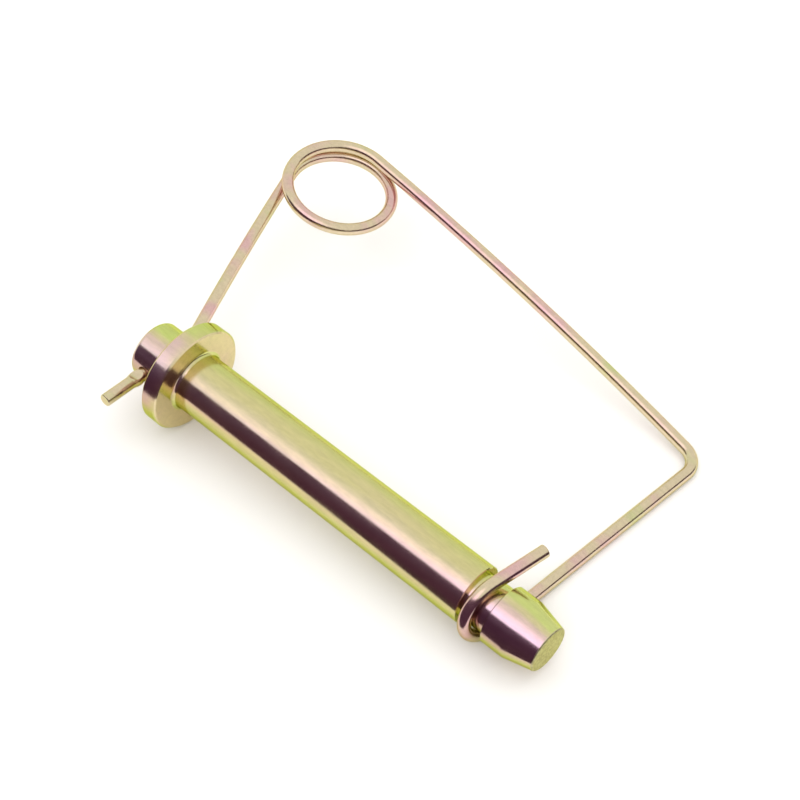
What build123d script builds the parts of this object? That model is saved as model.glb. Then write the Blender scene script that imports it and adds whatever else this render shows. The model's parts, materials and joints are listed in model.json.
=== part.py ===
from build123d import *
import os
from math import atan2, cos, degrees, hypot, radians, sin, sqrt, tan

# A hitch pin: one forged and turned steel pin, and the one length of spring wire that locks it.
#
# Both pieces are drawn in the pin's own frame and are laid down on the ground at the end.
# Pin frame: +X along the pin from the head to the tip, with x = 0 on the collar's front face;
# +Z along the hole in the head, towards the wire's coil; +Y is the side that the pin lies on.

# ---- Pin, millimetres ----
PIN_DIAMETER = 19.0
COLLAR_DIAMETER = 35.0
COLLAR_THICKNESS = 6.0
COLLAR_EDGE = 0.7           # chamfer on both rims of the collar
COLLAR_ROOT_FILLET = 1.2    # where the shank meets the collar's front face
HEAD_LENGTH = 13.2          # from the collar's back face to the end of the head
HEAD_EDGE_FILLET = 1.6
GRIP_LENGTH = 112.8         # from the collar's front face to the groove
GROOVE_WIDTH = 9.2
GROOVE_DIAMETER = 15.4
GROOVE_EDGE = 0.25          # broken corners of the groove
TIP_LAND_LENGTH = 7.4       # full-diameter length beyond the groove
TIP_CONE_LENGTH = 9.7
TIP_END_DIAMETER = 14.4
TIP_EDGE_FILLET = 0.6

# ---- Lock wire, millimetres and degrees; bend radii are to the middle of the wire ----
WIRE_DIAMETER = 4.0
WIRE_END_FILLET = 0.35
HOLE_SETBACK = 7.2          # from the collar's back face to the centre of the head's hole
HOLE_CLEARANCE = 0.1        # round the wire in the head's hole
HOLE_EDGE = 0.35            # rounding of both mouths of the hole
STUB_REACH = 25.2           # from the pin's axis to the wire's free end beyond the head
CRIMP_GAP = 0.6             # from the head's surface to the crimp
CRIMP_LENGTH = 4.5
CRIMP_DEPTH = 0.45          # how far the wire is squeezed at each of two sides
CRIMP_SPREAD = 0.4          # how far it bulges at the other two
HEAD_BEND_GAP = 0.2         # straight wire between the head's surface and the bend
HEAD_BEND_RADIUS = 7.0
BACK_LEG_BOW_RADIUS = 1600.0
COIL_RADIUS = 17.6
COIL_SETBACK = 12.9         # from the head's hole back to the coil's centre
COIL_HEIGHT = 91.0          # from the pin's axis up to the coil's centre
COIL_GAP = 0.4              # between the coil's turns, just past where they meet
COIL_ARCS = 16              # arcs that the coil is made of
LONG_SIDE_BOW_RADIUS = 1400.0
CORNER_RADIUS = 7.2
CORNER_HEIGHT = 87.7        # from the pin's axis up to the centre of the corner bend
TIP_LEG_LEAN = 3.2          # degrees that the tip leg leans off square to the pin
HOOK_CLEARANCE = 0.3        # between the hook and the groove's floor
HOOK_SIDE_CLEARANCE = 0.15  # between the tip leg and the groove's wall at the tip
HOOK_LEAN = 11.0            # degrees that the leg leans where it enters the hook
HOOK_SKEW = 4.5             # degrees that the hook turns off square, towards the grip
HOOK_WRAP = 175.0           # degrees of the hook's arc round the groove
HOOK_END_LENGTH = 19.2      # straight length past the hook's arc
KINK_RADIUS = 20.0          # of the slight bend between the tip leg and the hook

# ---- How the sums below are worked ----
SETTLING_ROUNDS = 20        # rounds of a sum whose result feeds back into it
ON_HOLE = 0.01              # how near to the hole's wall an edge of its mouth lies

# ---- Worked out from the sizes above ----
PIN_RADIUS = PIN_DIAMETER / 2
WIRE_RADIUS = WIRE_DIAMETER / 2
HOLE_RADIUS = WIRE_RADIUS + HOLE_CLEARANCE
COLLAR_RADIUS = COLLAR_DIAMETER / 2
FULL_TURN = radians(360)
HEAD_END_X = -COLLAR_THICKNESS - HEAD_LENGTH
HOLE_X = -COLLAR_THICKNESS - HOLE_SETBACK
GROOVE_END_X = GRIP_LENGTH + GROOVE_WIDTH
LAND_END_X = GROOVE_END_X + TIP_LAND_LENGTH
TIP_END_X = LAND_END_X + TIP_CONE_LENGTH
HOOK_RADIUS = GROOVE_DIAMETER / 2 + HOOK_CLEARANCE + WIRE_RADIUS
# The leaning tip leg comes nearest to the groove's wall where it rises out of the groove.
LEG_EXIT_HEIGHT = sqrt((PIN_RADIUS + WIRE_RADIUS) ** 2 - HOOK_RADIUS**2)
LEG_EXIT_X = GROOVE_END_X - WIRE_RADIUS - HOOK_SIDE_CLEARANCE
HOOK_X = LEG_EXIT_X - LEG_EXIT_HEIGHT * tan(radians(TIP_LEG_LEAN))


def make_pin_body():
    """The pin turned as one profile, with its edges broken and the wire's hole drilled."""
    outline = Polyline(
        (HEAD_END_X, 0),
        (HEAD_END_X, PIN_RADIUS),
        (-COLLAR_THICKNESS, PIN_RADIUS),
        (-COLLAR_THICKNESS, COLLAR_RADIUS),
        (0, COLLAR_RADIUS),
        (0, PIN_RADIUS),
        (GRIP_LENGTH, PIN_RADIUS),
        (GRIP_LENGTH, GROOVE_DIAMETER / 2),
        (GROOVE_END_X, GROOVE_DIAMETER / 2),
        (GROOVE_END_X, PIN_RADIUS),
        (LAND_END_X, PIN_RADIUS),
        (TIP_END_X, TIP_END_DIAMETER / 2),
        (TIP_END_X, 0),
        close=True,
    )
    pin = revolve(make_face(outline), Axis.X)

    def ring(x, radius):
        """The round edge of the pin nearest to a place along it and a radius."""
        circles = pin.edges().filter_by(GeomType.CIRCLE)
        return circles.sort_by(lambda edge: abs(edge.arc_center.X - x) + abs(edge.radius - radius))[0]

    pin = chamfer([ring(-COLLAR_THICKNESS, COLLAR_RADIUS), ring(0, COLLAR_RADIUS)], COLLAR_EDGE)
    pin = fillet(ring(0, PIN_RADIUS), COLLAR_ROOT_FILLET)
    pin = fillet(ring(HEAD_END_X, PIN_RADIUS), HEAD_EDGE_FILLET)
    pin = chamfer([ring(GRIP_LENGTH, PIN_RADIUS), ring(GROOVE_END_X, PIN_RADIUS)], GROOVE_EDGE)
    pin = fillet(ring(TIP_END_X, TIP_END_DIAMETER / 2), TIP_EDGE_FILLET)
    drilled = pin - Pos(HOLE_X, 0, 0) * Cylinder(HOLE_RADIUS, 2 * COLLAR_DIAMETER)
    mouths = drilled.edges().filter_by(is_hole_mouth)
    return fillet(mouths, HOLE_EDGE)


def is_hole_mouth(edge):
    """Whether an edge of the drilled pin runs round a mouth of the head's hole."""
    middle = edge.position_at(0.5)
    on_hole = abs(hypot(middle.X - HOLE_X, middle.Y) - HOLE_RADIUS) < ON_HOLE
    return on_hole and edge.geom_type != GeomType.LINE


class WireFrame:
    """The upright, slightly turned plane that the back leg lies in, and planes beside it.

    It turns about the head's hole, so that the tip leg passes the groove on its +Y side.
    s runs from the hole towards the tip, z up, and aside out of the plane towards +Y.
    """

    def __init__(self, hook_aside):
        self.hook_s = sqrt((HOOK_X - HOLE_X) ** 2 + HOOK_RADIUS**2 - hook_aside**2)
        self.turn = atan2(HOOK_RADIUS, HOOK_X - HOLE_X) - atan2(hook_aside, self.hook_s)

    def point(self, s, z, aside=0.0):
        x = HOLE_X + s * cos(self.turn) - aside * sin(self.turn)
        return Vector(x, s * sin(self.turn) + aside * cos(self.turn), z)


class WireRoute:
    """The middle line of a bent wire: straight stretches and arcs that run on without a kink."""

    def __init__(self, start, heading):
        self.end = start
        self.heading = heading
        self.edges = []

    def add(self, edge):
        self.edges.append(edge)
        self.end = edge @ 1
        self.heading = edge % 1

    def straight(self, length):
        self.add(Edge.make_line(self.end, self.end + self.heading * length))

    def arc_to(self, point):
        self.add(Edge.make_tangent_arc(self.end, self.heading, point))

    def bend(self, radius, angle, towards):
        """Turn through an angle, in degrees, round a centre that lies square to the wire."""
        across = (towards - self.heading * towards.dot(self.heading)).normalized()
        centre = self.end + across * radius

        def at(turned):
            return centre + (self.heading * sin(turned) - across * cos(turned)) * radius

        self.add(Edge.make_three_point_arc(self.end, at(radians(angle / 2)), at(radians(angle))))


def circles_meet(centre_a, radius_a, centre_b, radius_b, side):
    """Where two circles cross, on the left (side = 1) or right (-1) of the line from a to b."""
    gap_s = centre_b[0] - centre_a[0]
    gap_z = centre_b[1] - centre_a[1]
    gap = hypot(gap_s, gap_z)
    along = (gap**2 + radius_a**2 - radius_b**2) / (2 * gap)
    aside = side * sqrt(radius_a**2 - along**2)
    return (
        centre_a[0] + (along * gap_s - aside * gap_z) / gap,
        centre_a[1] + (along * gap_z + aside * gap_s) / gap,
    )


def on_circle(centre, radius, angle):
    """The point of a circle at an angle, in radians, from the first axis."""
    return centre[0] + radius * cos(angle), centre[1] + radius * sin(angle)


def angle_from(centre, point):
    """The angle, in radians, at which a point lies from a centre."""
    return atan2(point[1] - centre[1], point[0] - centre[0])


def eased(share):
    """A share of 0 to 1 that starts and stops gently, so that the coil leaves no kink."""
    return share**2 * (3 - 2 * share)


def make_wire_route():
    """Lay the wire's middle line out in its frame, from the free end to the hook's end."""
    lean = radians(TIP_LEG_LEAN)
    bend_start = PIN_RADIUS + HEAD_BEND_GAP
    head_bend = (-HEAD_BEND_RADIUS, bend_start)
    coil = (-COIL_SETBACK, COIL_HEIGHT)

    # The back leg bows, so it is an arc that touches the head's bend and the coil.
    back_bow = circles_meet(
        head_bend,
        BACK_LEG_BOW_RADIUS + HEAD_BEND_RADIUS,
        coil,
        BACK_LEG_BOW_RADIUS - COIL_RADIUS,
        side=-1,
    )
    bend_end = on_circle(head_bend, HEAD_BEND_RADIUS, angle_from(head_bend, back_bow))
    coil_start_angle = angle_from(back_bow, coil)

    # The coil moves the wire aside by a turn's pitch, and by how much depends on where the long
    # side leaves the coil, which moves with it: a few rounds settle both.
    hook_aside = 0.0
    for _ in range(SETTLING_ROUNDS):
        frame = WireFrame(hook_aside)
        corner_s = frame.hook_s + CORNER_HEIGHT * tan(lean) - CORNER_RADIUS / cos(lean)
        corner = (corner_s, CORNER_HEIGHT)
        long_bow = circles_meet(
            coil,
            LONG_SIDE_BOW_RADIUS - COIL_RADIUS,
            corner,
            LONG_SIDE_BOW_RADIUS - CORNER_RADIUS,
            side=-1,
        )
        coil_end_angle = angle_from(long_bow, coil)
        coil_turn = FULL_TURN + (coil_start_angle - coil_end_angle) % FULL_TURN
        hook_aside = -(WIRE_DIAMETER + COIL_GAP) / eased(FULL_TURN / coil_turn)

    route = WireRoute(frame.point(0, -STUB_REACH), Vector(0, 0, 1))
    route.straight(STUB_REACH + bend_start)
    route.arc_to(frame.point(*bend_end))
    route.arc_to(frame.point(*on_circle(coil, COIL_RADIUS, coil_start_angle)))
    for arc in range(1, COIL_ARCS + 1):
        share = arc / COIL_ARCS
        turned = on_circle(coil, COIL_RADIUS, coil_start_angle - share * coil_turn)
        route.arc_to(frame.point(*turned, aside=hook_aside * eased(share)))
    corner_start = on_circle(corner, CORNER_RADIUS, angle_from(long_bow, corner))
    corner_end = on_circle(corner, CORNER_RADIUS, -lean)
    route.arc_to(frame.point(*corner_start, aside=hook_aside))
    route.arc_to(frame.point(*corner_end, aside=hook_aside))

    # The hook leans and is turned off square, so it starts a little below the pin's axis.
    skew = radians(HOOK_SKEW)
    hook_lean = radians(HOOK_LEAN)
    hook_radius = HOOK_RADIUS / cos(hook_lean)
    hook_drop = hook_radius * sin(skew) * sin(hook_lean) * cos(hook_lean)
    kink_drop = KINK_RADIUS * (sin(hook_lean) - sin(lean))
    route.straight((corner_end[1] + hook_drop - kink_drop) / cos(lean))
    route.bend(KINK_RADIUS, HOOK_LEAN - TIP_LEG_LEAN, towards=Vector(-1, 0, 0))
    route.bend(hook_radius, HOOK_WRAP, towards=Vector(-sin(skew), -cos(skew), 0))
    route.straight(HOOK_END_LENGTH)
    return route


def make_wire_stretch(edge):
    """Round wire along one edge: a straight rod, or part of a ring."""
    section = Plane(origin=edge @ 0, z_dir=edge % 0) * Circle(WIRE_RADIUS)
    if edge.geom_type == GeomType.LINE:
        return extrude(section, amount=edge.length, dir=edge % 0)
    centre = edge.arc_center
    axis = Axis(centre, (edge @ 0 - centre).cross(edge % 0))
    return revolve(section, axis, degrees(edge.length / edge.radius))


def crimp(wire):
    """Squeeze the wire just outside the head, so that it can't be drawn back through."""
    middle = Pos(HOLE_X, 0, -PIN_RADIUS - CRIMP_GAP - CRIMP_LENGTH / 2)
    half = CRIMP_LENGTH / 2
    side_arc = ThreePointArc((WIRE_RADIUS, -half), (WIRE_RADIUS + CRIMP_SPREAD, 0), (WIRE_RADIUS, half))
    barrel_outline = side_arc + Polyline(side_arc @ 1, (0, half), (0, -half), side_arc @ 0)
    barrel = revolve(Plane.XZ * make_face(barrel_outline), Axis.Z)
    squeezed = wire + middle * barrel

    # A round tool sinks into two opposite sides of the barrel.
    tool_radius = (half**2 + CRIMP_DEPTH**2) / (2 * CRIMP_DEPTH)
    tool = Rot(0, 90, 0) * Cylinder(tool_radius, 4 * WIRE_DIAMETER)
    tool_offset = WIRE_RADIUS - CRIMP_DEPTH + tool_radius
    for side in (-1, 1):
        squeezed -= middle * Pos(0, side * tool_offset, 0) * tool
    return squeezed


def make_wire_lock(route):
    """Bend the wire along its route, round off its two cut ends and crimp it at the head."""
    stretches = [make_wire_stretch(edge) for edge in route.edges]
    wire = Part() + stretches
    ends = [route.edges[0] @ 0, route.edges[-1] @ 1]
    rims = [wire.edges().filter_by(GeomType.CIRCLE).sort_by_distance(end)[0] for end in ends]
    return crimp(fillet(rims, WIRE_END_FILLET))


def find_ground(route):
    """The plane that touches the collar's front rim and runs along the tip leg, +Z upwards.

    Which point of the rim is lowest depends on how the plane tilts, so a few rounds settle it.
    """
    tip_leg = route.edges[-4]
    ground_normal = Vector(0, -1, 0)
    for _ in range(SETTLING_ROUNDS):
        under_leg = tip_leg @ 1 - ground_normal * WIRE_RADIUS
        up_from_axis = Vector(0, ground_normal.Y, ground_normal.Z).normalized()
        rim = Vector(-COLLAR_EDGE, 0, 0) - up_from_axis * COLLAR_RADIUS
        ground_normal = (under_leg - rim).cross(tip_leg % 0).normalized()
        if ground_normal.Y > 0:
            ground_normal = -ground_normal
    along_pin = Vector(1, 0, 0) - ground_normal * ground_normal.X
    return Plane(origin=rim, x_dir=along_pin, z_dir=ground_normal)


def main():
    os.makedirs("parts", exist_ok=True)
    route = make_wire_route()
    pieces = {"pin_body": make_pin_body(), "wire_lock": make_wire_lock(route)}
    ground = find_ground(route)
    lie_down = ground.location.inverse()
    box = Compound([lie_down * piece for piece in pieces.values()]).bounding_box()
    to_origin = Pos(-box.center().X, -box.center().Y, -box.min.Z)
    for name, piece in pieces.items():
        export_step(to_origin * lie_down * piece, f"parts/{name}.step")


main()
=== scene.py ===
"""A hitch pin laid on a pale table: its plated finishes, the table, the studio and the camera.

The pin and its lock wire are turned, drilled and bent in the CAD model, so their shapes stay as
they come. This script dresses them in yellow-passivated zinc and lights them as a small product.
"""

import json
import logging
import math
from dataclasses import dataclass, field
from enum import Enum
from typing import Any, Optional

import bmesh
import bpy
from mathutils import Euler, Matrix, Vector

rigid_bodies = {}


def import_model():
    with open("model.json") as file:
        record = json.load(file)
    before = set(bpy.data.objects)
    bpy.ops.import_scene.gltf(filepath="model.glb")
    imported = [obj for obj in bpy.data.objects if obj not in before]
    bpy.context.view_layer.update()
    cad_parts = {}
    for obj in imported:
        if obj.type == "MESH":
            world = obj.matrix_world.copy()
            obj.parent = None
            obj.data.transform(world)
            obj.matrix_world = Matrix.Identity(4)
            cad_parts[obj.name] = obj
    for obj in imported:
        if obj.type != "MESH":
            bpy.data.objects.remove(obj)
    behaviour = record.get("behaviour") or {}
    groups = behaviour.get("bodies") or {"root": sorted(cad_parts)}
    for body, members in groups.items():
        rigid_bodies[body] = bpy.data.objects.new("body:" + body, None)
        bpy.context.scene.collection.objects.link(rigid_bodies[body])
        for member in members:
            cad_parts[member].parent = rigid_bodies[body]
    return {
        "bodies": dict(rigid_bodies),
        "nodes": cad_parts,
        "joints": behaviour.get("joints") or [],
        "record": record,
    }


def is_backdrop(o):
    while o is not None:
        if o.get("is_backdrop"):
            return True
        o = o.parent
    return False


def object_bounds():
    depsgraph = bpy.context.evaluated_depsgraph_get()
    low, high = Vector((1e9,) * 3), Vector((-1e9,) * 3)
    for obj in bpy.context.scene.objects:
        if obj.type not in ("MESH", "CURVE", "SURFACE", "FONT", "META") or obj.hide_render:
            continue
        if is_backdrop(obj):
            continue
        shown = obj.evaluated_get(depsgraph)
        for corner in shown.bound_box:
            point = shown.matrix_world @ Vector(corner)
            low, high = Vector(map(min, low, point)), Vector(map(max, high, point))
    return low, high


log = logging.getLogger("hitch_pin")

# The colour sockets of a Mix node, which Blender knows by number.
MIX_SHARE = 0
MIX_FIRST = 6
MIX_SECOND = 7
MIX_RESULT = 2

# A noise is rarely outside this range, which is taken as its darkest and lightest.
NOISE_LOW = 0.3
NOISE_HIGH = 0.7

GLOSS_SPREAD = (0.8, 1.25)  # the roughness of the glossiest and the dullest patches, as shares
STAIN_SPREAD = (0.93, 1.05)  # how dark and light the stains make the plating, as shares
GLOSS_PATCHES = 5  # patches of gloss across one cloud of tint
STAINS = 14  # stains across one cloud of tint


class Ends(Enum):
    """How the ends of a bar look."""

    PLAIN = "like its sides"
    SAWN = "sawn across, so the plating lies rough and speckled on them"


def linear_colour(hex_colour: str) -> tuple[float, float, float, float]:
    """Turn an sRGB hex colour into the linear values that a shader takes.

    Args:
        hex_colour: Six hex digits after a hash, such as "#d2cc90".

    Returns:
        Linear red, green, blue and an alpha of one.
    """
    channels = [int(hex_colour[start : start + 2], 16) / 255 for start in (1, 3, 5)]
    linear = [c / 12.92 if c <= 0.04045 else ((c + 0.055) / 1.055) ** 2.4 for c in channels]
    return (linear[0], linear[1], linear[2], 1.0)


def add_node(
    tree: bpy.types.NodeTree,
    kind: str,
    settings: Optional[dict[str, Any]] = None,
    inputs: Optional[dict[Any, Any]] = None,
) -> bpy.types.Node:
    """Add one shader node with its settings, values and links.

    Args:
        tree: The node tree that takes the node.
        kind: Blender's name for the kind of node.
        settings: Properties of the node, by name.
        inputs: Its sockets by name or number, each with a value or with the socket that feeds it.

    Returns:
        The new node.
    """
    node = tree.nodes.new(kind)
    for name, value in (settings or {}).items():
        setattr(node, name, value)
    for name, value in (inputs or {}).items():
        if isinstance(value, bpy.types.NodeSocket):
            tree.links.new(value, node.inputs[name])
        else:
            node.inputs[name].default_value = value
    return node


def set_ramp(ramp: bpy.types.ColorRamp, stops: list[tuple[float, str]]) -> None:
    """Give a colour ramp its stops.

    Args:
        ramp: The ramp, which has the two stops that it was made with.
        stops: Each stop's place from 0 to 1 and its sRGB hex colour, in order.
    """
    while len(ramp.elements) < len(stops):
        ramp.elements.new(0.5)
    for element, (place, hex_colour) in zip(ramp.elements, stops):
        element.position = place
        element.color = linear_colour(hex_colour)


@dataclass(frozen=True)
class YellowZinc:
    """Zinc electroplated on steel and passivated in yellow chromate.

    The clear film lets the bright metal show through it in straw yellow, and interference turns
    it to leaf green or rose in places. Here those tints lie still on the metal.
    """

    name: str
    straw: str
    green: str
    rose: str
    grazing: str  # the tint of the metal's gloss at a low angle
    roughness: float
    cloud_size: float  # metres from one tint to the next
    stretch: tuple[float, float, float]  # how much longer the clouds are along X, Y and Z
    grain_size: float  # metres, as are the height below and every place along the bar
    grain_height: float
    # The bands are partly the plating's tints and partly painted highlight and painted dark
    # reflection, laid by angle about the axis.
    band_share: float = 0.0  # how much of the tint comes from the bands, and not the clouds
    bands: tuple[tuple[float, str], ...] = ()  # degrees from the top towards -Y, and a tint
    band_wobble: float = 14.0  # degrees that the bands wander
    outer_bands: tuple[tuple[float, str], ...] = ()  # the same, on the bar's two ends
    outer_start: tuple[float, float] = (0.0555, 0.0610)  # metres each way from the middle
    shoulder_place: Optional[tuple[float, float]] = None  # its plane, and the radius it starts at
    shoulder_tint: str = "#e6d3ae"
    ends: Ends = Ends.PLAIN
    end_places: tuple[float, float] = (-0.0758, 0.0818)  # metres along from the middle
    end_tint: str = "#d6d0a8"
    speck_tint: str = "#bab289"
    speck_size: float = 0.0007
    end_dullness: float = 0.25

    def build(self, turn: Euler, centre: Vector) -> bpy.types.Material:
        """Make the material.

        Args:
            turn: How the piece's long axis is turned from X.
            centre: A point on that axis, in metres.

        Returns:
            The finished material.
        """
        material = bpy.data.materials.new(self.name)
        material.use_nodes = True
        tree = material.node_tree
        tree.nodes.clear()
        place = add_node(tree, "ShaderNodeTexCoord").outputs["Object"]
        along = add_node(
            tree,
            "ShaderNodeMapping",
            {"vector_type": "TEXTURE"},
            {"Vector": place, "Location": centre, "Rotation": turn, "Scale": self.stretch},
        ).outputs["Vector"]

        centred = add_node(
            tree,
            "ShaderNodeMapping",
            {"vector_type": "TEXTURE"},
            {"Vector": place, "Location": centre, "Rotation": turn},
        ).outputs["Vector"]
        reach = add_node(tree, "ShaderNodeSeparateXYZ", {}, {0: centred}).outputs["X"]

        tint = self.add_tints(tree, along, reach)
        roughness = self.add_roughness(tree, along)
        if self.ends is Ends.SAWN:
            tint, roughness = self.add_sawn_ends(tree, centred, reach, tint, roughness)
        normal = self.add_grain(tree, centred)
        shader = add_node(
            tree,
            "ShaderNodeBsdfPrincipled",
            {},
            {
                "Base Color": tint,
                "Metallic": 1.0,
                "Roughness": roughness,
                "Specular Tint": linear_colour(self.grazing),
                "Normal": normal,
            },
        )
        add_node(tree, "ShaderNodeOutputMaterial", {}, {"Surface": shader.outputs["BSDF"]})
        return material

    def add_tints(
        self, tree: bpy.types.NodeTree, along: bpy.types.NodeSocket, reach: bpy.types.NodeSocket
    ) -> bpy.types.NodeSocket:
        """Add the clouds of straw, green and rose, the bands of tint, painted highlight and painted
        dark reflection, and the fine stains in them.

        Args:
            tree: The material's nodes.
            along: Where the surface is, in the piece's own directions.
            reach: How far along the bar the surface is, in metres.

        Returns:
            The colour.
        """
        clouds = add_node(
            tree,
            "ShaderNodeTexNoise",
            {},
            {"Vector": along, "Scale": 1 / self.cloud_size, "Detail": 3.0, "Roughness": 0.45},
        )
        tint = add_node(tree, "ShaderNodeValToRGB", {}, {"Fac": clouds.outputs["Fac"]})
        set_ramp(
            tint.color_ramp,
            [
                (0.32, self.green),
                (0.43, self.straw),
                (0.50, self.straw),
                (0.62, self.rose),
            ],
        )
        stains = add_node(
            tree,
            "ShaderNodeTexNoise",
            {},
            {"Vector": along, "Scale": STAINS / self.cloud_size, "Detail": 4.0, "Roughness": 0.6},
        )
        depth = add_node(
            tree,
            "ShaderNodeMapRange",
            {},
            {
                "Value": stains.outputs["Fac"],
                "From Min": NOISE_LOW,
                "From Max": NOISE_HIGH,
                "To Min": STAIN_SPREAD[0],
                "To Max": STAIN_SPREAD[1],
            },
        )
        colour = tint.outputs["Color"]
        # Mix in the bands: plating tints with a painted highlight and a painted dark reflection.
        if self.bands:
            banded = self.add_bands(tree, along, reach, clouds.outputs["Fac"])
            colour = add_node(
                tree,
                "ShaderNodeMix",
                {"data_type": "RGBA"},
                {MIX_SHARE: self.band_share, MIX_FIRST: colour, MIX_SECOND: banded},
            ).outputs[MIX_RESULT]
        stained = add_node(
            tree,
            "ShaderNodeMix",
            {"data_type": "RGBA", "blend_type": "MULTIPLY"},
            {MIX_SHARE: 1.0, MIX_FIRST: colour, MIX_SECOND: depth.outputs["Result"]},
        )
        return stained.outputs[MIX_RESULT]

    def add_sawn_ends(
        self,
        tree: bpy.types.NodeTree,
        centred: bpy.types.NodeSocket,
        reach: bpy.types.NodeSocket,
        tint: bpy.types.NodeSocket,
        roughness: bpy.types.NodeSocket,
    ) -> tuple[bpy.types.NodeSocket, bpy.types.NodeSocket]:
        """Add the duller, speckled plating of the two sawn end faces.

        Args:
            tree: The material's nodes.
            centred: Where the surface is, in metres from the bar's middle.
            reach: How far along the surface is, in metres.
            tint: The colour so far.
            roughness: The roughness so far.

        Returns:
            The colour and the roughness.
        """
        beyond_head = add_node(
            tree, "ShaderNodeMath", {"operation": "LESS_THAN"}, {0: reach, 1: self.end_places[0]}
        )
        beyond_tip = add_node(
            tree, "ShaderNodeMath", {"operation": "GREATER_THAN"}, {0: reach, 1: self.end_places[1]}
        )
        on_end = add_node(
            tree,
            "ShaderNodeMath",
            {"operation": "MAXIMUM"},
            {0: beyond_head.outputs[0], 1: beyond_tip.outputs[0]},
        ).outputs[0]
        specks = add_node(
            tree,
            "ShaderNodeTexNoise",
            {},
            {"Vector": centred, "Scale": 1 / self.speck_size, "Detail": 2.0},
        )
        speckled = add_node(tree, "ShaderNodeValToRGB", {}, {"Fac": specks.outputs["Fac"]})
        set_ramp(speckled.color_ramp, [(0.40, self.speck_tint), (0.58, self.end_tint)])
        colour = add_node(
            tree,
            "ShaderNodeMix",
            {"data_type": "RGBA"},
            {MIX_SHARE: on_end, MIX_FIRST: tint, MIX_SECOND: speckled.outputs["Color"]},
        ).outputs[MIX_RESULT]
        dull = add_node(
            tree,
            "ShaderNodeMath",
            {"operation": "MULTIPLY_ADD"},
            {0: on_end, 1: self.end_dullness, 2: roughness},
        ).outputs[0]
        return colour, dull

    def add_bands(
        self,
        tree: bpy.types.NodeTree,
        along: bpy.types.NodeSocket,
        reach: bpy.types.NodeSocket,
        clouds: bpy.types.NodeSocket,
    ) -> bpy.types.NodeSocket:
        """Add the tints, painted highlight and painted dark reflection that run beside the bar's
        axis, like streaks, each at its angle from the top towards -Y.

        The bar's two ends have bands of their own, with stronger tints and a stronger painted
        highlight and painted dark reflection.

        Args:
            tree: The material's nodes.
            along: Where the surface is, in the piece's own directions.
            reach: How far along the bar the surface is, in metres.
            clouds: A noise that the bands wander by.

        Returns:
            The bands' colour: plating tints with a painted highlight and a painted dark reflection.
        """
        parts = add_node(tree, "ShaderNodeSeparateXYZ", {}, {0: along}).outputs
        front = add_node(
            tree, "ShaderNodeMath", {"operation": "MULTIPLY"}, {0: parts["Y"], 1: -1.0}
        )
        angle = add_node(
            tree,
            "ShaderNodeMath",
            {"operation": "ARCTAN2"},
            {0: front.outputs[0], 1: parts["Z"]},
        )
        share = add_node(
            tree,
            "ShaderNodeMath",
            {"operation": "MULTIPLY_ADD"},
            {0: angle.outputs[0], 1: 1 / math.tau, 2: 0.5 - 0.5 * self.band_wobble / 180},
        )
        wandering = add_node(
            tree,
            "ShaderNodeMath",
            {"operation": "MULTIPLY_ADD"},
            {0: clouds, 1: self.band_wobble / 180, 2: share.outputs[0]},
        )
        around = add_node(tree, "ShaderNodeMath", {"operation": "FRACT"}, {0: wandering.outputs[0]})
        distance = add_node(tree, "ShaderNodeMath", {"operation": "ABSOLUTE"}, {0: reach})
        outer = add_node(
            tree,
            "ShaderNodeMapRange",
            {"interpolation_type": "SMOOTHSTEP"},
            {
                "Value": distance.outputs[0],
                "From Min": self.outer_start[0],
                "From Max": self.outer_start[1],
            },
        )
        ramps = []
        for bands in (self.bands, self.outer_bands or self.bands):
            ramp = add_node(tree, "ShaderNodeValToRGB", {}, {"Fac": around.outputs[0]})
            ramp.color_ramp.interpolation = "EASE"
            set_ramp(ramp.color_ramp, [(0.5 + degrees / 360, tint) for degrees, tint in bands])
            ramps.append(ramp.outputs["Color"])
        banded = add_node(
            tree,
            "ShaderNodeMix",
            {"data_type": "RGBA"},
            {MIX_SHARE: outer.outputs["Result"], MIX_FIRST: ramps[0], MIX_SECOND: ramps[1]},
        ).outputs[MIX_RESULT]
        if self.shoulder_place is None:
            return banded
        return self.add_shoulder(tree, along, reach, banded)

    def add_shoulder(
        self,
        tree: bpy.types.NodeTree,
        along: bpy.types.NodeSocket,
        reach: bpy.types.NodeSocket,
        banded: bpy.types.NodeSocket,
    ) -> bpy.types.NodeSocket:
        """Add the even cream of the collar's flat front face.

        Args:
            tree: The material's nodes.
            along: Where the surface is, in the piece's own directions.
            reach: How far along the bar the surface is, in metres.
            banded: The colour so far.

        Returns:
            The colour.
        """
        across = add_node(
            tree, "ShaderNodeVectorMath", {"operation": "MULTIPLY"}, {0: along, 1: (0, 1, 1)}
        )
        radius = add_node(
            tree, "ShaderNodeVectorMath", {"operation": "LENGTH"}, {0: across.outputs["Vector"]}
        )
        ahead = add_node(
            tree,
            "ShaderNodeMath",
            {"operation": "GREATER_THAN"},
            {0: reach, 1: self.shoulder_place[0]},
        )
        outside = add_node(
            tree,
            "ShaderNodeMath",
            {"operation": "GREATER_THAN"},
            {0: radius.outputs["Value"], 1: self.shoulder_place[1]},
        )
        on_face = add_node(
            tree,
            "ShaderNodeMath",
            {"operation": "MULTIPLY"},
            {0: ahead.outputs[0], 1: outside.outputs[0]},
        )
        return add_node(
            tree,
            "ShaderNodeMix",
            {"data_type": "RGBA"},
            {
                MIX_SHARE: on_face.outputs[0],
                MIX_FIRST: banded,
                MIX_SECOND: linear_colour(self.shoulder_tint),
            },
        ).outputs[MIX_RESULT]

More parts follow.
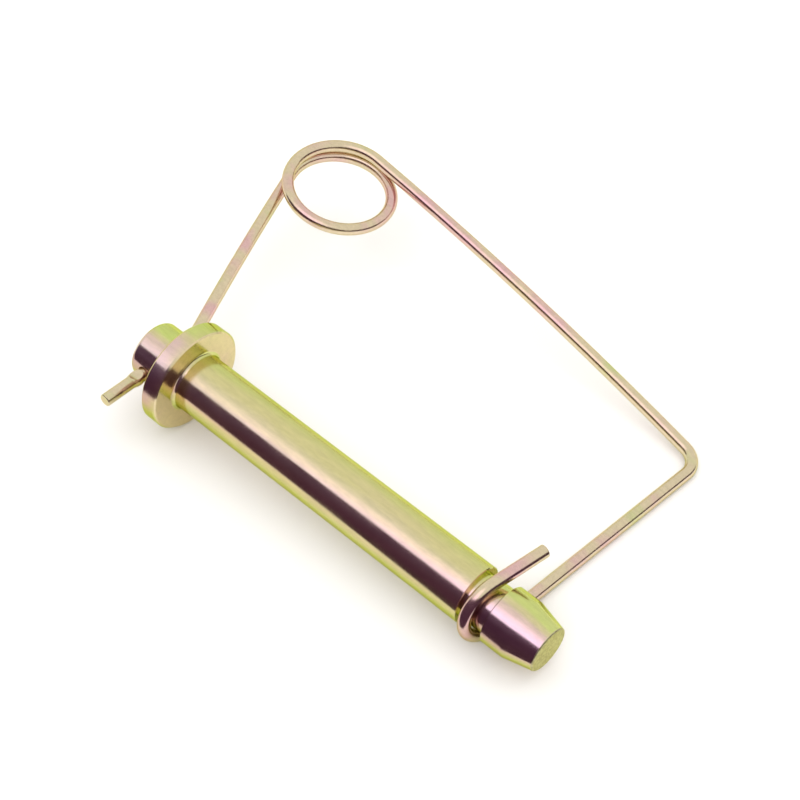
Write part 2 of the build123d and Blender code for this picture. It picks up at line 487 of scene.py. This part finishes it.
    def add_roughness(
        self, tree: bpy.types.NodeTree, along: bpy.types.NodeSocket
    ) -> bpy.types.NodeSocket:
        """Add the faint unevenness of the plating's gloss.

        Args:
            tree: The material's nodes.
            along: Where the surface is, in the piece's own directions.

        Returns:
            The roughness.
        """
        patches = add_node(
            tree,
            "ShaderNodeTexNoise",
            {},
            {"Vector": along, "Scale": GLOSS_PATCHES / self.cloud_size, "Detail": 3.0},
        )
        gloss = add_node(
            tree,
            "ShaderNodeMapRange",
            {},
            {
                "Value": patches.outputs["Fac"],
                "From Min": NOISE_LOW,
                "From Max": NOISE_HIGH,
                "To Min": self.roughness * GLOSS_SPREAD[0],
                "To Max": self.roughness * GLOSS_SPREAD[1],
            },
        )
        return gloss.outputs["Result"]

    def add_grain(
        self, tree: bpy.types.NodeTree, along: bpy.types.NodeSocket
    ) -> bpy.types.NodeSocket:
        """Add the fine grain that the pickled steel leaves under its plating.

        Args:
            tree: The material's nodes.
            along: Where the surface is, in the piece's own directions.

        Returns:
            The surface's direction.
        """
        grain = add_node(
            tree,
            "ShaderNodeTexNoise",
            {},
            {"Vector": along, "Scale": 1 / self.grain_size, "Detail": 4.0, "Roughness": 0.55},
        )
        bump = add_node(
            tree,
            "ShaderNodeBump",
            {},
            {"Height": grain.outputs["Fac"], "Distance": self.grain_height, "Strength": 1.0},
        )
        return bump.outputs["Normal"]


# The turned pin: bright plating on smooth steel, with a sharp gloss. Its bands run in long streaks
# beside its axis round the bar.
# Leaf green, straw and green again are the plating's tints. The pale rose at 28 to 46 degrees is a
# painted highlight, and the dark rose beyond it is a painted dark reflection.
PIN_FINISH = YellowZinc(
    name="yellow_zinc_on_turned_steel",
    straw="#dcd39a",
    green="#cfd583",
    rose="#e2c9b4",
    grazing="#d6dc8e",
    roughness=0.17,
    cloud_size=0.016,
    stretch=(4.0, 1.0, 1.0),
    grain_size=0.0006,
    grain_height=0.000004,
    shoulder_place=(-0.0573, 0.0105),
    ends=Ends.SAWN,
    band_share=0.75,
    # Pale rose at 28 to 46 degrees is a painted highlight; dark rose at 66 degrees is a painted
    # dark reflection.
    bands=(
        (-180.0, "#d6cf9c"),
        (-135.0, "#ddb9a6"),
        (-95.0, "#d3cf96"),
        (-60.0, "#c9d286"),
        (-25.0, "#cfd088"),
        (5.0, "#dad099"),
        (28.0, "#e3d2b6"),
        (46.0, "#e6cbcb"),
        (66.0, "#d3a2a0"),
        (84.0, "#cfc48c"),
        (105.0, "#cfd884"),
        (180.0, "#d6cf9c"),
    ),
    # Pale pink at 18 to 48 degrees is a painted highlight; dark mauve at 62 to 84 degrees is a
    # painted dark reflection.
    outer_bands=(
        (-180.0, "#dcc6a0"),
        (-135.0, "#e0bcb4"),
        (-90.0, "#d8cf98"),
        (-45.0, "#cdd98a"),
        (-8.0, "#cedb82"),
        (6.0, "#dccfa4"),
        (18.0, "#e6c6c8"),
        (48.0, "#efd3e2"),
        (62.0, "#bf8aa6"),
        (84.0, "#c39a9c"),
        (108.0, "#cfd884"),
        (180.0, "#dcc6a0"),
    ),
)

# The spring wire: the same plating on drawn wire, which leaves it a little duller, in patches of
# straw, green and rose along the wire.
WIRE_FINISH = YellowZinc(
    name="yellow_zinc_on_drawn_wire",
    straw="#dfceb0",
    green="#cfd29a",
    rose="#e2bbba",
    grazing="#d2d08f",
    roughness=0.19,
    cloud_size=0.016,
    stretch=(1.5, 1.0, 1.0),
    grain_size=0.0005,
    grain_height=0.000002,
)


@dataclass
class HitchPin:
    """The pin and its lock wire, as the CAD model has them, in their finishes."""

    frame: dict[str, Any]
    pin_node: str = "pin_body"
    wire_node: str = "wire_lock"

    def shank(self) -> tuple[Vector, Vector]:
        """Find the shank from its mount in the record.

        Returns:
            The middle of the shank, in metres, and the way from the head to the tip.
        """
        mounts = {mount["name"]: mount for mount in self.frame["record"]["mounts"]}
        shank = mounts["shank"]
        return Vector(shank["pos_m"]), Vector(shank["axis"]).normalized()

    def dress(self) -> None:
        """Give both CAD pieces their finishes."""
        centre, axis = self.shank()
        turn = axis.to_track_quat("X", "Z").to_euler()
        for node, finish in ((self.pin_node, PIN_FINISH), (self.wire_node, WIRE_FINISH)):
            piece = self.frame["nodes"][node]
            material = finish.build(turn, centre)
            piece.data.materials.clear()
            piece.data.materials.append(material)
            for polygon in piece.data.polygons:
                polygon.material_index = 0
            log.info("%s wears %s", node, material.name)


@dataclass
class Table:
    """The pale table top that the pin lies on."""

    half_width: float = 6.0
    colour: str = "#fafaf8"
    roughness: float = 0.75

    def build(self) -> bpy.types.Object:
        """Make the table top, with its surface at the height of the ground.

        Returns:
            The table top.
        """
        mesh = bpy.data.meshes.new("table_top")
        shape = bmesh.new()
        bmesh.ops.create_grid(shape, x_segments=1, y_segments=1, size=self.half_width)
        shape.to_mesh(mesh)
        shape.free()
        table = bpy.data.objects.new("table_top", mesh)
        bpy.context.scene.collection.objects.link(table)
        mesh.materials.append(self.make_paper())
        table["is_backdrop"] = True
        log.info("table top laid")
        return table

    def make_paper(self) -> bpy.types.Material:
        """Make the matt white card that covers the table.

        Returns:
            The material.
        """
        material = bpy.data.materials.new("matt_white_card")
        material.use_nodes = True
        shader = material.node_tree.nodes["Principled BSDF"]
        shader.inputs["Base Color"].default_value = linear_colour(self.colour)
        shader.inputs["Roughness"].default_value = self.roughness
        shader.inputs["Specular IOR Level"].default_value = 0.1
        return material


# Where the flags stand, in metres. Two stand up at the front and the side, and two lie flat.
FLAG_REACH = 1.2
FLAG_FRONT = -0.60
FLAG_BACK = 0.90
FLAG_SIDE = 0.60
FRONT_FLAG_LEAN = 0.02
FRONT_FLAG_HEIGHT = 0.50
SIDE_FLAG_HEIGHT = 0.22
SIDE_CLOTH_EDGE = 0.125  # where the side's flat cloth ends, off the tip
SIDE_CLOTH_HEIGHT = 0.0004
FRONT_CLOTH_HEIGHT = 0.0005
FRONT_CLOTH_HALF = 0.30
FRONT_CLOTH_TIP_EDGE = -0.012  # its near edge runs aslant, nearer to the pin at the tip
FRONT_CLOTH_HEAD_EDGE = -0.150


@dataclass
class Flag:
    """A dark card beside the object that the metal mirrors as a dark stripe.

    It is seen by reflections alone: it throws no shadow and hides nothing.
    """

    name: str
    corners: tuple[Vector, Vector, Vector, Vector]
    colour: str = "#513a4a"

    def build(self) -> bpy.types.Object:
        """Make the card between its corners.

        Returns:
            The card.
        """
        mesh = bpy.data.meshes.new(self.name)
        shape = bmesh.new()
        shape.faces.new([shape.verts.new(corner) for corner in self.corners])
        shape.to_mesh(mesh)
        shape.free()
        card = bpy.data.objects.new(self.name, mesh)
        bpy.context.scene.collection.objects.link(card)
        mesh.materials.append(self.make_cloth())
        card.visible_camera = False
        card.visible_diffuse = False
        card.visible_shadow = False
        card.visible_transmission = False
        card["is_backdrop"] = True
        log.info("%s stands", self.name)
        return card

    def make_cloth(self) -> bpy.types.Material:
        """Make the card's dull dark face.

        Returns:
            The material.
        """
        material = bpy.data.materials.new(self.name + "_cloth")
        material.use_nodes = True
        tree = material.node_tree
        tree.nodes.clear()
        glow = add_node(
            tree,
            "ShaderNodeEmission",
            {},
            {"Color": linear_colour(self.colour), "Strength": 1.0},
        )
        add_node(tree, "ShaderNodeOutputMaterial", {}, {"Surface": glow.outputs["Emission"]})
        return material


@dataclass
class Softbox:
    """A square area light that looks at the middle of the object.

    The metal mirrors the room and the flags, not the light itself.
    """

    name: str
    place: Vector
    aim: Vector
    side: float
    watts: float
    colour: str = "#ffffff"

    def build(self) -> bpy.types.Object:
        """Hang the light.

        Returns:
            The light.
        """
        data = bpy.data.lights.new(self.name, "AREA")
        data.shape = "SQUARE"
        data.size = self.side
        data.energy = self.watts
        data.color = linear_colour(self.colour)[:3]
        light = bpy.data.objects.new(self.name, data)
        light.location = self.place
        light.visible_glossy = False
        light.rotation_euler = (self.aim - self.place).to_track_quat("-Z", "Y").to_euler()
        bpy.context.scene.collection.objects.link(light)
        log.info("%s hangs", self.name)
        return light


@dataclass
class Studio:
    """The white room round the table and its lights."""

    room_colour: str = "#fbfbf4"
    room_strength: float = 0.95
    glow_colour: str = "#fbeefc"
    glow_strength: float = 1.5
    glow_way: tuple[float, float, float] = (0.0, -0.62, 0.78)  # over the front of the table
    glow_width: tuple[float, float] = (0.80, 0.97)  # cosines where it starts and is full
    lights: list[Softbox] = field(default_factory=list)
    flags: list[Flag] = field(default_factory=list)

    def build(self) -> None:
        """Make the room, hang the lights and stand the flags."""
        self.make_room()
        for light in self.lights:
            light.build()
        for flag in self.flags:
            flag.build()

    def make_room(self) -> None:
        """Make the white surround, with a brighter, pinker patch over the front of the table."""
        world = bpy.data.worlds.new("white_room")
        bpy.context.scene.world = world
        world.use_nodes = True
        tree = world.node_tree
        tree.nodes.clear()
        way = add_node(tree, "ShaderNodeTexCoord").outputs["Generated"]
        nearness = add_node(
            tree,
            "ShaderNodeVectorMath",
            {"operation": "DOT_PRODUCT"},
            {0: way, 1: Vector(self.glow_way).normalized()},
        )
        glow = add_node(
            tree,
            "ShaderNodeMapRange",
            {"interpolation_type": "SMOOTHSTEP"},
            {
                "Value": nearness.outputs["Value"],
                "From Min": self.glow_width[0],
                "From Max": self.glow_width[1],
            },
        ).outputs["Result"]
        colour = add_node(
            tree,
            "ShaderNodeMix",
            {"data_type": "RGBA"},
            {
                MIX_SHARE: glow,
                MIX_FIRST: linear_colour(self.room_colour),
                MIX_SECOND: linear_colour(self.glow_colour),
            },
        )
        strength = add_node(
            tree,
            "ShaderNodeMapRange",
            {},
            {"Value": glow, "To Min": self.room_strength, "To Max": self.glow_strength},
        )
        backdrop = add_node(
            tree,
            "ShaderNodeBackground",
            {},
            {"Color": colour.outputs[MIX_RESULT], "Strength": strength.outputs["Result"]},
        )
        add_node(tree, "ShaderNodeOutputWorld", {}, {"Surface": backdrop.outputs["Background"]})
        log.info("room made")


@dataclass
class ProductCamera:
    """A long lens that looks down on the pin from over its tip."""

    aim: Vector
    distance: float = 0.613
    azimuth: float = -39.04  # degrees; 0 looks along +Y, and the camera stands towards -Y
    elevation: float = 46.28
    roll: float = 3.96
    focal_length: float = 89.4  # millimetres, on a sensor 36 mm wide
    sensor_width: float = 36.0

    def build(self) -> bpy.types.Object:
        """Stand the camera and make it the scene's.

        Returns:
            The camera.
        """
        data = bpy.data.cameras.new("product_camera")
        data.sensor_width = self.sensor_width
        data.lens = self.focal_length
        data.clip_start = 0.01
        camera = bpy.data.objects.new("product_camera", data)
        across = math.radians(self.azimuth)
        down = math.radians(self.elevation)
        looking = Vector(
            (math.sin(across) * math.cos(down), math.cos(across) * math.cos(down), -math.sin(down))
        )
        level = looking.to_track_quat("-Z", "Y").to_matrix().to_4x4()
        rolled = level @ Matrix.Rotation(math.radians(self.roll), 4, "Z")
        camera.matrix_world = Matrix.Translation(self.aim - looking * self.distance) @ rolled
        bpy.context.scene.collection.objects.link(camera)
        bpy.context.scene.camera = camera
        log.info("camera stands %.3f m away", self.distance)
        return camera


def main() -> None:
    """Load the CAD frame, dress it, light it and stand the camera."""
    logging.basicConfig(level=logging.INFO, format="%(name)s: %(message)s")
    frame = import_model()
    cad_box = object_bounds()

    HitchPin(frame).dress()
    Table().build()
    low, high = cad_box
    middle = (low + high) / 2
    studio = Studio(
        lights=[
            Softbox("overhead_softbox", Vector((0.0, 0.1, 1.6)), middle, 1.6, 6.5),
            Softbox("front_softbox", Vector((0.35, -0.85, 1.0)), middle, 0.55, 2.0),
        ],
        flags=[
            Flag(
                "front_flag",
                (
                    Vector((-FLAG_REACH, FLAG_FRONT, 0.0)),
                    Vector((FLAG_REACH, FLAG_FRONT, 0.0)),
                    Vector((FLAG_REACH, FLAG_FRONT - FRONT_FLAG_LEAN, FRONT_FLAG_HEIGHT)),
                    Vector((-FLAG_REACH, FLAG_FRONT - FRONT_FLAG_LEAN, FRONT_FLAG_HEIGHT)),
                ),
            ),
            Flag(
                "side_flag",
                (
                    Vector((FLAG_SIDE, FLAG_FRONT, 0.0)),
                    Vector((FLAG_SIDE, FLAG_BACK, 0.0)),
                    Vector((FLAG_SIDE, FLAG_BACK, SIDE_FLAG_HEIGHT)),
                    Vector((FLAG_SIDE, FLAG_FRONT, SIDE_FLAG_HEIGHT)),
                ),
            ),
            Flag(
                "side_table_flag",
                (
                    Vector((FLAG_SIDE, FLAG_FRONT, SIDE_CLOTH_HEIGHT)),
                    Vector((FLAG_SIDE, FLAG_BACK, SIDE_CLOTH_HEIGHT)),
                    Vector((SIDE_CLOTH_EDGE, FLAG_BACK, SIDE_CLOTH_HEIGHT)),
                    Vector((SIDE_CLOTH_EDGE, FLAG_FRONT, SIDE_CLOTH_HEIGHT)),
                ),
            ),
            Flag(
                "table_flag",
                (
                    Vector((-FLAG_REACH, FLAG_FRONT, FRONT_CLOTH_HEIGHT)),
                    Vector((FLAG_REACH, FLAG_FRONT, FRONT_CLOTH_HEIGHT)),
                    Vector((FRONT_CLOTH_HALF, FRONT_CLOTH_TIP_EDGE, FRONT_CLOTH_HEIGHT)),
                    Vector((-FRONT_CLOTH_HALF, FRONT_CLOTH_HEAD_EDGE, FRONT_CLOTH_HEIGHT)),
                ),
            ),
        ],
    )
    studio.build()
    ProductCamera(aim=Vector((-0.0018, 0.0004, 0.010))).build()
    bpy.context.scene.view_settings.view_transform = "Standard"


if __name__ == "__main__":
    main()
